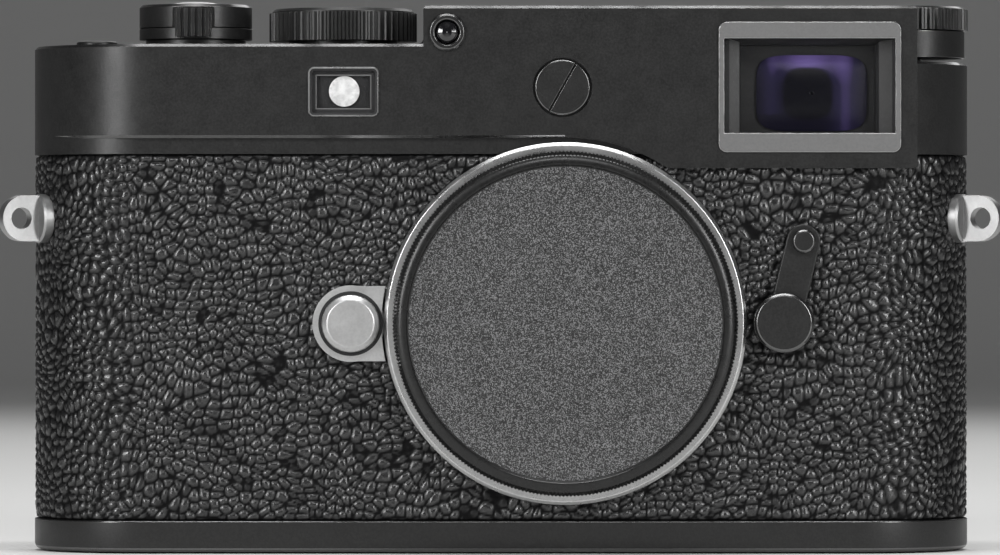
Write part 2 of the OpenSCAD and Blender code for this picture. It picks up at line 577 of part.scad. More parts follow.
module eyepiece_glass() color([0.6, 0.65, 0.75, 0.4])
  turn(eye_x, eye_z, [[0, R - 0.7], [4.3, R - 0.7], [4.3, R + 0.3], [3, R + 0.55], [0, R + 0.7]]);

module display_frame() color([0.1, 0.1, 0.11]) difference() {
  union() {
    plate(R, R + 0.5) translate([back_x, back_z]) rrect(disp_w + 2.6, disp_h + 2.6, 2.5);
    plate(R - 2, R + e) translate([back_x, back_z]) square([disp_w + 1, disp_h + 1], center = true);
  }
  plate(R - 0.6, R + 1) translate([back_x, back_z]) rrect(disp_w + 2 * flat, disp_h + 2 * flat, 2);
  plate(R - 3, R) translate([back_x, back_z]) square([disp_w - 4, disp_h - 3], center = true);
}

module display_panel() color([0.05, 0.05, 0.06])
  box([back_x - disp_w / 2 + 1, R - 2.8, back_z - disp_h / 2 + 0.8], [back_x + disp_w / 2 - 1, R - 2, back_z + disp_h / 2 - 0.8]);

module display_glass() color([0.2, 0.22, 0.25, 0.6])
  plate(R - 0.6, R + 0.35) translate([back_x, back_z]) rrect(disp_w, disp_h, 2);

module key(x) color([0.12, 0.12, 0.13]) {
  plate(bore_r - 0.7, R + 0.9) translate([x, key_z]) rrect(8, 4.4, 1.6);
  plate(bore_r - 1, bore_r - 0.3) translate([x, key_z]) square([9.4, 5.8], center = true);
}
module play_button() key(play_x);
module menu_button() key(menu_x);

module direction_pad() color([0.12, 0.12, 0.13])
  turn(pad_x, pad_z, [[0, bore_r - 1], [pad_r + 0.7, bore_r - 1], [pad_r + 0.7, bore_r - 0.3], [pad_r, bore_r - 0.3],
    [pad_r, R + 0.9], [pad_r - 0.4, R + 1.2], [3.6, R + 1], [3.2 + run, R + 0.8], [3.2 + run, R - 1.8], [0, R - 1.8]]);

module centre_button() color([0.12, 0.12, 0.13])
  turn(pad_x, pad_z, [[0, R - 1.3], [3.2, R - 1.3], [3.2, R + 1.1], [2.9, R + 1.4], [0, R + 1.5]]);

module thumb_wheel() color([0.12, 0.12, 0.13]) translate([wheel_x, wheel_y, 0]) {
  translate([0, 0, wheel_z - 2.1]) linear_extrude(4.2) polygon(knurl(44, wheel_r, 0.4));
  translate([0, 0, leather_z - 1]) cylinder(wheel_z - leather_z + 4, 1.5, 1.5);
}

// ---------- inside ----------

module shutter_frame() color([0.2, 0.2, 0.21]) difference() {
  box([lens_x - blade_w / 2 - 3, gate_y, 9.6], [lens_x + blade_w / 2 + 3, gate_y + 5.6, 51]);
  box([lens_x - blade_w / 2 - flat, gate_y + 0.8, 11], [lens_x + blade_w / 2 + flat, gate_y + 4.8, 50]);
  plate(gate_y - 1, gate_y + 7) translate([lens_x, lens_z]) square([sensor_w + 2, sensor_h + 2], center = true);
}

// Focal plane blades, lowest first, closed.
module blade(i) color([0.05, 0.05, 0.06])
  translate([lens_x - blade_w / 2, gate_y + 1.1 + blade_gap * i, lens_z - sensor_h / 2 - 1 + blade_pitch * i])
    cube([blade_w, blade_t, blade_h]);

module image_sensor() color([0.2, 0.3, 0.25]) {
  plate(sensor_y, sensor_y + 2) translate([lens_x, lens_z]) square([sensor_w + 8, sensor_h + 8], center = true);
  box([-29.8, sensor_y + 2, 10], [49.8, sensor_y + 2.8, leather_z - 1.5]);
}

module sensor_glass() color([0.4, 0.6, 0.6, 0.4])
  plate(sensor_y - 1, sensor_y) translate([lens_x, lens_z]) square([sensor_w + 2, sensor_h + 2], center = true);

module main_board() color([0.1, 0.35, 0.15]) {
  box([-29.8, sensor_y + 3.2, 6], [49.8, sensor_y + 4.2, leather_z - 1.5]);
  for (c = [[-24, 14, 10, 8], [-6, 36, 16, 14], [24, 20, 9, 9], [38, 44, 8, 6]])
    box([c[0], sensor_y + 4.1, c[1]], [c[0] + c[2], sensor_y + 5, c[1] + c[3]]);
}

module tripod_socket() color([0.7, 0.7, 0.71])
  lathe(0, 0, [[tripod_r, 0], [6, 0], [6, 1.6], [8, 1.6], [8, 3.6], [6, 3.6], [6, 9], [0, 9], [0, 8], [tripod_r, 8]]);

module battery() color([0.1, 0.1, 0.11]) {
  box([bat_x - bat_w / 2 - 0.5, -bat_t / 2 - 0.5, 0.25], [bat_x + bat_w / 2 + 0.5, bat_t / 2 + 0.5, 1.5]);
  box([bat_x - bat_w / 2, -bat_t / 2, 1.4], [bat_x + bat_w / 2, bat_t / 2, bat_h + 2]);
}

module battery_latch() color([0.7, 0.7, 0.71]) difference() {
  lathe(-25, 0, [[0, 0.25], [2.6, 0.25], [2.6, 1.7], [3.4, 1.7], [3.4, 2.4], [0, 2.4]]);
  box([-27, -0.4, 0], [-23, 0.4, 0.8]);
}

// Socket for a data cable in the base, with its contact tongue.
module data_port() color([0.75, 0.75, 0.76]) {
  difference() {
    box([38, -1.78, 0.3], [47, 1.78, 8]);
    box([38.6, -1.2, 0.2], [46.4, 1.2, 7]);
  }
  box([39.6, -0.35, 2], [45.4, 0.35, 7.5]);
}

chassis();
body_shell();
leather_wrap();
base_plate();
top_cover();
finder_frame();
finder_tunnel();
finder_lens();
finder_glass();
finder_block();
rangefinder_frame();
rangefinder_mask();
rangefinder_disc();
rangefinder_glass();
rangefinder_arm();
arm_roller();
lamp_ring();
lamp_dome();
cover_screw();
lens_mount();
mount_screws();
body_cap();
lock_housing();
lock_button();
lock_pin();
frame_lever();
lever_knob();
lever_grip();
lug(-1);  // lug_left
lug(1);  // lug_right
release_base();
release_collar();
release_button();
shutter_dial();
function_button();
iso_stem();
iso_knob();
accessory_shoe();
eyepiece_ring();
eyepiece_glass();
display_frame();
display_panel();
display_glass();
play_button();
menu_button();
direction_pad();
centre_button();
thumb_wheel();
shutter_frame();
blade(0);  // blade_1
blade(1);  // blade_2
blade(2);  // blade_3
blade(3);  // blade_4
image_sensor();
sensor_glass();
main_board();
tripod_socket();
battery();
battery_latch();
data_port();
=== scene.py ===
import json
import math

import bmesh
import bpy
import numpy as np
from mathutils import Matrix, Vector

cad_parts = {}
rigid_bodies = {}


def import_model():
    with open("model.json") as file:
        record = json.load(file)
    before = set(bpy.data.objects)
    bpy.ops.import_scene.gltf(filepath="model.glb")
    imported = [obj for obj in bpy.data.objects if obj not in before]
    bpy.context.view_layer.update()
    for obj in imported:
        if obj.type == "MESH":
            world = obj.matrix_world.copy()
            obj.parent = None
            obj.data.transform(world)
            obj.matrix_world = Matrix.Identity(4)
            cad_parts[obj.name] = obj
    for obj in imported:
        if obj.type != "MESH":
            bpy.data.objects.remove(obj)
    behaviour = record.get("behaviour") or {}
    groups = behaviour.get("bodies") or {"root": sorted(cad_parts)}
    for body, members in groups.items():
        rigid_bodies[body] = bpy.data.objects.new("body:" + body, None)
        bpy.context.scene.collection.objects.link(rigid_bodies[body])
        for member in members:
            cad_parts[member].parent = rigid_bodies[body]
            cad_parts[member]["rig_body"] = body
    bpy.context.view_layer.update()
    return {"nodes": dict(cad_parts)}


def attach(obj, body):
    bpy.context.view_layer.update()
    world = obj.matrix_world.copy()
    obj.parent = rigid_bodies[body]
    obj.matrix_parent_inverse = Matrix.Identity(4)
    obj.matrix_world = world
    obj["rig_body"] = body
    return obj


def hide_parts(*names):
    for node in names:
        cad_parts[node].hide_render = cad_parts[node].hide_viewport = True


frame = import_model()
nodes = frame["nodes"]
MM = 0.001

# Sizes shared with the frame, in millimetres.
HALF_W, R_END, Z_BASE, Z_LEATHER = 69.5, 17.0, 4.6, 58.5
CX = HALF_W - R_END
LENS = (9.4, 33.6)
LOCK = (-22.0, 33.6)
FINDER = (45.25, 68.35)
FINDER_LENS = (45.75, 67.5)
PUPIL = (45.1, 67.35)
RANGEFINDER = (-23.1, 67.55)
SPEED_DIAL = (-23.5, -2)
ISO_DIAL = (60.1, 0)
LEATHER_INSET, LEATHER_RELIEF, LEATHER_TUCK = 0.47, 0.45, 0.7
MOUNT_CUT_R, LOCK_CUT_R = 26.2, 4.9
CAP_FACE_R = 22.95


# ---------- materials ----------


def material(name, color, rough=0.4, metal=0.0, coat=0.0, spec=0.5, alpha=None):
    """A plain shader whose even values are set on its own sockets; returns (material, tree, shader)."""
    mat = bpy.data.materials.new(name)
    mat.use_nodes = True
    tree = mat.node_tree
    sh = tree.nodes["Principled BSDF"]
    sh.inputs["Base Color"].default_value = (*color, 1)
    sh.inputs["Roughness"].default_value = rough
    sh.inputs["Metallic"].default_value = metal
    sh.inputs["Coat Weight"].default_value = coat
    sh.inputs["Coat Roughness"].default_value = 0.12
    sh.inputs["Specular IOR Level"].default_value = spec
    if alpha is not None:
        sh.inputs["Alpha"].default_value = alpha
    return mat, tree, sh


def coords(tree, stretch=(1, 1, 1)):
    """Object coordinates, stretched per axis."""
    tc = tree.nodes.new("ShaderNodeTexCoord")
    mp = tree.nodes.new("ShaderNodeMapping")
    mp.inputs["Scale"].default_value = stretch
    tree.links.new(tc.outputs["Object"], mp.inputs["Vector"])
    return mp.outputs["Vector"]


def noise(tree, scale, detail=3.0, rough=0.55, stretch=(1, 1, 1)):
    n = tree.nodes.new("ShaderNodeTexNoise")
    n.inputs["Scale"].default_value = scale
    n.inputs["Detail"].default_value = detail
    n.inputs["Roughness"].default_value = rough
    tree.links.new(coords(tree, stretch), n.inputs["Vector"])
    return n.outputs["Fac"]


def remap(tree, value, a, b, lo, hi):
    """value from a..b to lo..hi, clamped."""
    m = tree.nodes.new("ShaderNodeMapRange")
    m.inputs["From Min"].default_value = a
    m.inputs["From Max"].default_value = b
    m.inputs["To Min"].default_value = lo
    m.inputs["To Max"].default_value = hi
    tree.links.new(value, m.inputs["Value"])
    return m.outputs["Result"]


def tint(tree, sh, value, dark, light):
    """Base colour runs from dark to light with value 0..1."""
    mix = tree.nodes.new("ShaderNodeMix")
    mix.data_type = "RGBA"
    mix.inputs["A"].default_value = (*dark, 1)
    mix.inputs["B"].default_value = (*light, 1)
    tree.links.new(value, mix.inputs["Factor"])
    tree.links.new(mix.outputs["Result"], sh.inputs["Base Color"])


def bump(tree, sh, value, depth_mm, strength=1.0, under=None):
    """Bump of value, depth_mm deep, over another bump if given."""
    b = tree.nodes.new("ShaderNodeBump")
    b.inputs["Strength"].default_value = strength
    b.inputs["Distance"].default_value = depth_mm * MM
    tree.links.new(value, b.inputs["Height"])
    if under is not None:
        tree.links.new(under, b.inputs["Normal"])
    tree.links.new(b.outputs["Normal"], sh.inputs["Normal"])
    return b.outputs["Normal"]


def black_enamel(name, base, rough, speck=0.4):
    """Satin enamel: fine orange peel, and a speckle of the colour by the share speck."""
    mat, tree, sh = material(name, (base,) * 3, rough, 0.0, 0.0, 0.5)
    tint(tree, sh, remap(tree, noise(tree, 3200, 3), 0.35, 0.65, 0, 1), (base * (1 - speck),) * 3,
         (base * (1 + speck),) * 3)
    gloss = remap(tree, noise(tree, 400, 3), 0.3, 0.7, rough - 0.03, rough + 0.04)
    tree.links.new(gloss, sh.inputs["Roughness"])
    bump(tree, sh, noise(tree, 4200, 2), 0.02, 0.6)
    return mat


def bright_metal(name, base, rough):
    """Satin nickel or chrome: fine brushed grain, faint handling marks."""
    mat, tree, sh = material(name, (base, base, base * 1.01), rough, 1.0)
    grain = noise(tree, 2500, 2, 0.5)
    marks = remap(tree, noise(tree, 160, 5), 0.3, 0.75, rough - 0.05, rough + 0.1)
    tree.links.new(marks, sh.inputs["Roughness"])
    tint(tree, sh, remap(tree, grain, 0.3, 0.7, 0, 1), (base * 0.93,) * 3, (base * 1.04,) * 3)
    bump(tree, sh, grain, 0.004, 0.35)
    return mat


def matt_plastic(name, color, rough, grain_scale=2600, depth=0.02):
    """Plastic or paint with a fine grain in colour and surface, depth in millimetres."""
    mat, tree, sh = material(name, color, rough)
    n = noise(tree, grain_scale, 3)
    tint(tree, sh, remap(tree, n, 0.35, 0.65, 0, 1), tuple(c * 0.8 for c in color),
         tuple(c * 1.2 for c in color))
    bump(tree, sh, n, depth, 0.6)
    return mat


def clear_glass(name, color, alpha, rough=0.03):
    """Glass or glossy plastic under a clear coat; alpha None leaves it solid."""
    mat, tree, sh = material(name, color, rough, 0.0, 1.0, 0.6, alpha)
    sh.inputs["Coat Roughness"].default_value = 0.03
    tree.links.new(remap(tree, noise(tree, 120, 2), 0.3, 0.7, rough, rough + 0.03), sh.inputs["Roughness"])
    return mat


def leather_black():
    """Black leather: fine pores and wrinkles over the modelled pebbles, glossier on the tops. Its colour
    darkens and its reflection dims from the tops into the creases as painted shade.
    """
    mat, tree, sh = material("black_leather", (0.012, 0.012, 0.013), 0.42, spec=0.75)
    att = tree.nodes.new("ShaderNodeAttribute")
    att.attribute_name = "height"
    top = att.outputs["Fac"]
    # painted shade: the colour darkens from the pebble tops into the creases
    tint(tree, sh, top, (0.002, 0.002, 0.0022), (0.012, 0.012, 0.0125))
    tree.links.new(remap(tree, top, 0.0, 1.0, 0.5, 0.2), sh.inputs["Roughness"])
    # painted shade: the reflection is dimmed in the creases
    tree.links.new(remap(tree, top, 0.2, 0.85, 0.1, 1.0), sh.inputs["Specular IOR Level"])
    pores = bump(tree, sh, noise(tree, 3800, 4, 0.6), 0.03, 0.55)
    bump(tree, sh, noise(tree, 1500, 3, 0.6), 0.06, 0.5, pores)
    return mat


MAT = {
    "black_paint": black_enamel("black_enamel", 0.012, 0.34),
    "dark_paint": black_enamel("dark_enamel", 0.009, 0.36),
    "base_paint": black_enamel("base_enamel", 0.009, 0.38),
    "bright": bright_metal("bright_nickel", 0.62, 0.26),
    "lobe": bright_metal("satin_nickel", 0.6, 0.4),
    "lug": bright_metal("lug_steel", 0.36, 0.42),
    "edge": bright_metal("polished_edge", 0.16, 0.2),
    "grey_edge": bright_metal("polished_grey_edge", 0.5, 0.22),
    "cast": bright_metal("cast_aluminium", 0.45, 0.5),
    "brass": material("turned_brass", (0.6, 0.46, 0.2), 0.3, 1.0)[0],
    "grey_frame": black_enamel("grey_window_frame", 0.145, 0.42, 0.06),
    "matt": matt_plastic("matt_black", (0.012, 0.012, 0.013), 0.65),
    "rubber": matt_plastic("key_black", (0.02, 0.02, 0.021), 0.5),
    "glass": clear_glass("window_glass", (0.01, 0.01, 0.011), 0.04),
    "block": clear_glass("prism_glass", (0.3, 0.33, 0.36), 0.5),
    "screen": clear_glass("display_cover", (0.006, 0.006, 0.008), None, 0.06),
    "board": matt_plastic("circuit_board", (0.02, 0.09, 0.045), 0.45, 700, 0.05),
    "white": matt_plastic("white_disc", (0.82, 0.82, 0.82), 0.35, 900, 0.003),
    "dome": clear_glass("dark_dome", (0.004, 0.004, 0.005), None, 0.08),
    "leather": leather_black(),
}

BY_NODE = {
    "chassis": "cast", "body_shell": "dark_paint", "leather_wrap": "leather", "base_plate": "base_paint",
    "top_cover": "black_paint", "finder_frame": "grey_frame", "finder_tunnel": "matt", "finder_lens": "glass",
    "finder_glass": "glass", "finder_block": "block", "rangefinder_frame": "bright",
    "rangefinder_mask": "matt", "rangefinder_disc": "white", "rangefinder_glass": "glass",
    "rangefinder_arm": "brass", "arm_roller": "bright",
    "lamp_ring": "black_paint", "lamp_dome": "dome", "cover_screw": "black_paint", "lens_mount": "bright",
    "mount_screws": "bright", "body_cap": "matt", "lock_housing": "lobe", "lock_button": "lobe",
    "lock_pin": "bright", "frame_lever": "black_paint", "lever_knob": "black_paint",
    "lever_grip": "dark_paint",
    "lug_left": "lug", "lug_right": "lug", "release_base": "dark_paint", "release_collar": "dark_paint",
    "release_button": "bright", "shutter_dial": "dark_paint",
    "function_button": "dark_paint", "iso_stem": "dark_paint", "iso_knob": "dark_paint",
    "accessory_shoe": "bright", "eyepiece_ring": "rubber", "eyepiece_glass": "glass",
    "display_frame": "rubber",
    "display_panel": "matt", "display_glass": "screen", "play_button": "rubber", "menu_button": "rubber",
    "direction_pad": "rubber", "centre_button": "rubber", "thumb_wheel": "dark_paint",
    "shutter_frame": "cast",
    "blade_1": "matt", "blade_2": "matt", "blade_3": "matt", "blade_4": "matt", "image_sensor": "board",
    "sensor_glass": "glass", "main_board": "board", "tripod_socket": "bright", "battery": "rubber",
    "data_port": "bright",
    "battery_latch": "bright",
}
for name, obj in nodes.items():
    obj.data.materials.clear()
    obj.data.materials.append(MAT[BY_NODE[name]])


# ---------- shape helpers ----------


def build(name, verts, faces, mat, body, smooth=35):
    """A finished piece from points in millimetres and faces; edges sharper than smooth degrees stay crisp."""
    me = bpy.data.meshes.new(name)
    me.from_pydata((np.asarray(verts, float) * MM).tolist(), [], [list(map(int, f)) for f in faces])
    me.validate()
    me.update()
    me.shade_smooth()
    if smooth is not None:
        me.set_sharp_from_angle(angle=math.radians(smooth))
    ob = bpy.data.objects.new(name, me)
    bpy.context.scene.collection.objects.link(ob)
    me.materials.append(mat)
    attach(ob, body)
    return ob


def cells(nu, nv, wrap_u=False, wrap_v=False, flip=False, keep=None, start=0):
    """Quads of a grid with nu by nv points; a wrapped direction joins its last line to its first."""
    i = np.arange(nu if wrap_u else nu - 1)
    j = np.arange(nv if wrap_v else nv - 1)
    a, b = np.meshgrid(i, j, indexing="ij")
    a2, b2 = (a + 1) % nu, (b + 1) % nv
    q = np.stack([a * nv + b, a2 * nv + b, a2 * nv + b2, a * nv + b2], -1).reshape(-1, 4)
    if keep is not None:
        q = q[keep.reshape(-1)]
    return (q[:, ::-1] if flip else q) + start


def tidy(verts, faces):
    """Drops the points that no face uses."""
    used, inv = np.unique(faces, return_inverse=True)
    return verts[used], inv.reshape(faces.shape), used


def lathe(name, axis, profile, mat, body, cols=192, ripple=None, smooth=35, at=(0, 0)):
    """A turned piece. Each profile row is (radius, height, weight): the row is swept round the axis, and
    its radius changes by weight times ripple(angle). axis 'y' turns about Y at (x, z) = at, and 'z' turns
    about Z at (x, y) = at."""
    p = np.array([(*row, 0.0)[:3] for row in profile], float)
    ang = np.linspace(0, 2 * math.pi, cols, endpoint=False)
    wave = ripple(ang) if ripple else np.zeros(cols)
    r = p[None, :, 0] + p[None, :, 2] * wave[:, None]
    c, s = np.cos(ang)[:, None] * r, np.sin(ang)[:, None] * r
    h = np.broadcast_to(p[None, :, 1], r.shape)
    if axis == "y":
        pts = np.stack([at[0] + c, h, at[1] + s], -1)
    else:
        pts = np.stack([at[0] + c, at[1] + s, h], -1)
    faces = cells(cols, len(p), wrap_u=True, flip=axis == "z")
    ob = build(name, pts.reshape(-1, 3), faces, mat, body, smooth)
    bm = bmesh.new()
    bm.from_mesh(ob.data)
    bmesh.ops.remove_doubles(bm, verts=bm.verts, dist=2e-6)
    bmesh.ops.recalc_face_normals(bm, faces=bm.faces)
    bm.to_mesh(ob.data)
    bm.free()
    ob.data.shade_smooth()
    ob.data.set_sharp_from_angle(angle=math.radians(smooth))
    return ob


def edged(node, width, mat, segments=2, angle=28, rim=None):
    """A copy of a frame piece with its flat faces joined and its edges rounded by width, in millimetres;
    rim is the look of the rounded edges and of the chamfers under and over the level faces."""
    bm = bmesh.new()
    bm.from_mesh(nodes[node].data)
    bmesh.ops.remove_doubles(bm, verts=bm.verts, dist=2e-6)
    bmesh.ops.dissolve_limit(bm, angle_limit=math.radians(0.5), verts=bm.verts, edges=bm.edges)
    me = bpy.data.meshes.new(node + "_edged")
    bm.to_mesh(me)
    bm.free()
    if "custom_normal" in me.attributes:
        me.attributes.remove(me.attributes["custom_normal"])
    me.materials.clear()
    me.materials.append(mat)
    me.shade_smooth()
    me.set_sharp_from_angle(angle=math.radians(angle))
    ob = bpy.data.objects.new(node + "_edged", me)
    bpy.context.scene.collection.objects.link(ob)
    bev = ob.modifiers.new("edge", "BEVEL")
    bev.width = width * MM
    bev.segments = segments
    bev.limit_method = "ANGLE"
    bev.angle_limit = math.radians(angle)
    bev.harden_normals = True
    if rim is not None:
        me.materials.append(rim)
        bev.material = 1
        for poly in me.polygons:
            if 0.5 < abs(poly.normal.z) < 0.9:
                poly.material_index = 1
    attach(ob, nodes[node]["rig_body"])
    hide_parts(node)
    return ob


# ---------- leather ----------

QUARTER = R_END * math.pi / 2
GIRTH = 4 * QUARTER + 4 * CX


def outline(u, r):
    """The body's outline at distance u along it, at end radius r: from the left end along the front to the
    right end, then back along the rear. Each end is a half circle, and each side a straight line."""
    t = np.clip(u / R_END, 0, math.pi / 2)
    x = -CX - np.cos(t) * r
    y = -np.sin(t) * r
    f = u > QUARTER
    x = np.where(f, -CX + (u - QUARTER), x)
    y = np.where(f, -r, y)
    t = np.clip((u - QUARTER - 2 * CX) / R_END, 0, math.pi)
    f = u > QUARTER + 2 * CX
    x = np.where(f, CX + np.sin(t) * r, x)
    y = np.where(f, -np.cos(t) * r, y)
    f = u > 3 * QUARTER + 2 * CX
    x = np.where(f, CX - (u - 3 * QUARTER - 2 * CX), x)
    y = np.where(f, r, y)
    t = np.clip((u - 3 * QUARTER - 4 * CX) / R_END, 0, math.pi / 2)
    f = u > 3 * QUARTER + 4 * CX
    x = np.where(f, -CX - np.sin(t) * r, x)
    y = np.where(f, np.cos(t) * r, y)
    return x, y


def pebbles(u, z, size, seed):
    """Distance to the nearest and to the second-nearest of scattered points, in units of size; the pattern
    repeats once round the body."""
    rng = np.random.default_rng(seed)
    count, rows = round(GIRTH / size), 128
    jit = rng.random((count, rows, 2))
    gu, gz = u / GIRTH * count, z / size
    iu, iz = np.floor(gu).astype(int), np.floor(gz).astype(int)
    f1 = np.full(u.shape, 9.0)
    f2 = f1.copy()
    for du in (-1, 0, 1):
        for dz in (-1, 0, 1):
            ci, cj = iu + du, iz + dz
            p = jit[ci % count, cj % rows]
            d = np.hypot(ci + p[..., 0] - gu, cj + p[..., 1] - gz)
            f2 = np.minimum(f2, np.maximum(f1, d))
            f1 = np.minimum(f1, d)
    return f1, f2


def waves(u, z, seed, terms, amp):
    """A smooth drift: the sum of a few sine waves that repeat once round the body."""
    rng = np.random.default_rng(seed)
    out = np.zeros_like(u)
    for _ in range(terms):
        k = rng.integers(4, 26)
        kz = rng.uniform(-0.45, 0.45)
        out += np.sin(2 * math.pi * k * u / GIRTH + kz * z + rng.uniform(0, 6.3)) * rng.uniform(0.4, 1)
    return out * amp / terms**0.5


def leather_height(u, z):
    """Pebble height from 0 in the creases to 1 on the tops: rounded cells on a drifting grid, with smaller
    wrinkles that cross them."""
    du = waves(u, z, 3, 9, 0.9)
    dz = waves(u, z, 5, 9, 0.9)
    a1, a2 = pebbles(u + du, z + dz, 1.45, 11)
    b1, b2 = pebbles(u + du * 0.6, z + dz * 0.6, 0.9, 23)
    big = 1 - np.exp(-(((a2 - a1) / 0.2) ** 1.5))
    small = 1 - np.exp(-(((b2 - b1) / 0.22) ** 1.3))
    swell = 0.5 + 0.5 * np.tanh(waves(u, z, 8, 7, 1.4))
    dome = 1 - 0.45 * np.clip(a1, 0, 1) ** 2
    return np.clip(big * dome * (0.72 + 0.28 * small) * (0.9 + 0.1 * swell), 0, 1)


def leather(name, u0, u1, cols, rows, cut):
    """Half of the wrap: a grid over distance round the body and height, lifted by the pebbles, with its top
    and bottom edges turned in. cut(x, z) says which cells are left out."""
    u = np.linspace(u0, u1, cols)
    z = np.linspace(Z_BASE + 0.05, Z_LEATHER - 0.05, rows)
    U, Z = np.meshgrid(u, z, indexing="ij")
    h = leather_height(U, Z)
    edge = np.minimum(Z - Z_BASE, Z_LEATHER - Z)
    h = h * np.clip(edge / 0.8, 0, 1) ** 0.5
    r = R_END - LEATHER_INSET + LEATHER_RELIEF * h
    r[:, 0] = r[:, -1] = R_END - LEATHER_TUCK
    x, y = outline(U, r)
    xm = (x[1:, 1:] + x[:-1, :-1]) / 2
    zm = (Z[1:, 1:] + Z[:-1, :-1]) / 2
    faces = cells(cols, rows, keep=~cut(xm, zm))
    pts, faces, used = tidy(np.stack([x, y, Z], -1).reshape(-1, 3), faces)
    ob = build(name, pts, faces, MAT["leather"], "camera", None)
    # the pebble height also sets the painted crease shade in the leather material
    att = ob.data.attributes.new("height", "FLOAT", "POINT")
    att.data.foreach_set("value", h.reshape(-1)[used].astype(np.float32))
    return ob


half = GIRTH / 2
front_leather = leather("leather_front", 0, half, 587, 200,
                        lambda x, z: (np.hypot(x - LENS[0], z - LENS[1]) < MOUNT_CUT_R)
                        | (np.hypot(x - LOCK[0], z - LOCK[1]) < LOCK_CUT_R))
back_leather = leather("leather_back", half, GIRTH, 480, 200,
                       lambda x, z: (abs(x - 14) < 34.5) & (abs(z - 33) < 22.5))
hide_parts("leather_wrap")


# ---------- body cap ----------

cap_face, tree, sh = material("cap_grain_and_glints", (0.05,) * 3, 0.5)
sand_and_glints = noise(tree, 6500, 1, 0.5)
# the grain tone is partly the plastic's own and partly painted glints: its light specks stand in for light
# caught by the grain
tint(tree, sh, remap(tree, sand_and_glints, 0.46, 0.68, 0, 1), (0.002, 0.002, 0.0021), (0.2, 0.2, 0.204))
bump(tree, sh, sand_and_glints, 0.1, 1.0)
cap_rim = black_enamel("cap_rim_black", 0.008, 0.28)

SCALLOPS = 288
cap = lathe("body_cap_turned", "y", [
    (0.01, -22.55), (8, -22.55), (16, -22.55), (22.9, -22.55), (23.05, -22.6), (23.13, -22.85), (23.3, -23.0),
    (23.6, -23.02), (24.2, -22.9), (24.6, -22.7), (24.72, -22.55, 0.3), (24.85, -22.35, 0.8),
    (25.15, -21.95, 1), (25.3, -21.6, 1), (25.3, -20.2, 1), (25.15, -19.9, 1), (24.9, -19.66, 0.4),
    (24.7, -19.6),
    (23.7, -19.6), (23.7, -21.3), (20.72, -21.3), (20.7, -16.6), (20.6, -16.5), (19.1, -16.5), (19.0, -16.6),
    (19, -21.3), (0.01, -21.3)], cap_rim, "cap", SCALLOPS * 4,
    lambda a: -0.2 * np.cos(a * SCALLOPS / 2) ** 2, 32, LENS)
cap.data.materials.append(cap_face)
centre = np.array([LENS[0], LENS[1]]) * MM
for poly in cap.data.polygons:
    c = poly.center
    if math.hypot(c.x - centre[0], c.z - centre[1]) < CAP_FACE_R * MM and c.y < -22 * MM:
        poly.material_index = 1
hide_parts("body_cap")


# ---------- finder window ----------

grey_wall = black_enamel("finder_wall_grey", 0.045, 0.5, 0.1)


def funnel(name, loops, mat, body):
    """A rectangular funnel: straight walls join rectangles given as (width, height, centre x, centre z, y),
    and the last rectangle is closed."""
    pts, faces = [], []
    for w, h, x, z, y in loops:
        pts += [(x + sx * w / 2, y, z + sz * h / 2) for sx, sz in ((-1, -1), (1, -1), (1, 1), (-1, 1))]
    for k in range(len(loops) - 1):
        for i in range(4):
            j = (i + 1) % 4
            faces.append((4 * k + i, 4 * k + j, 4 * k + 4 + j, 4 * k + 4 + i))
    n = 4 * (len(loops) - 1)
    faces.append((n, n + 1, n + 2, n + 3))
    return build(name, pts, faces, mat, body, 20)


tunnel = funnel("finder_funnel", [(25.7, 15, *FINDER, -12.1), (25.7, 15, *FINDER, -16.95),
                                  (25.2, 14.2, 45.25, 68.45, -16.95), (25.1, 14.2, 45.35, 68.45, -15.6),
                                  (23.9, 14.0, 45.5, 68.4, -15.5), (20.5, 13.4, 45.3, 68.3, -14.9),
                                  (19.9, 12.9, 45.15, 68.15, -14.4), (19.7, 12.6, 45.15, 68.15, -12.5)],
                MAT["matt"], "camera")
tunnel.data.materials.append(grey_wall)
for k in (17, 19):
    tunnel.data.polygons[k].material_index = 1
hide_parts("finder_tunnel")


def cushion_glass(name, w, h, x, z, y, rise, mat, body, rings=24, cols=128):
    """A bulging pane with a round-cornered rectangular outline: rings shrink from the outline to the middle
    while the surface rises by rise times one minus the ring's size squared."""
    ang = np.linspace(0, 2 * math.pi, cols, endpoint=False)
    c, s_ = np.cos(ang), np.sin(ang)
    n = 5.0
    k = (np.abs(c) ** n + np.abs(s_) ** n) ** (-1 / n)
    bx, bz = c * k * w / 2, s_ * k * h / 2
    t = np.linspace(1, 0.02, rings)
    pts = np.stack([x + t[:, None] * bx, y - rise * (1 - t[:, None] ** 2) + 0 * bx, z + t[:, None] * bz], -1)
    faces = cells(rings, cols, wrap_v=True).tolist() + [[(rings - 1) * cols + i for i in range(cols)]]
    return build(name, pts.reshape(-1, 3), faces, mat, body, None), pts.reshape(-1, 3)


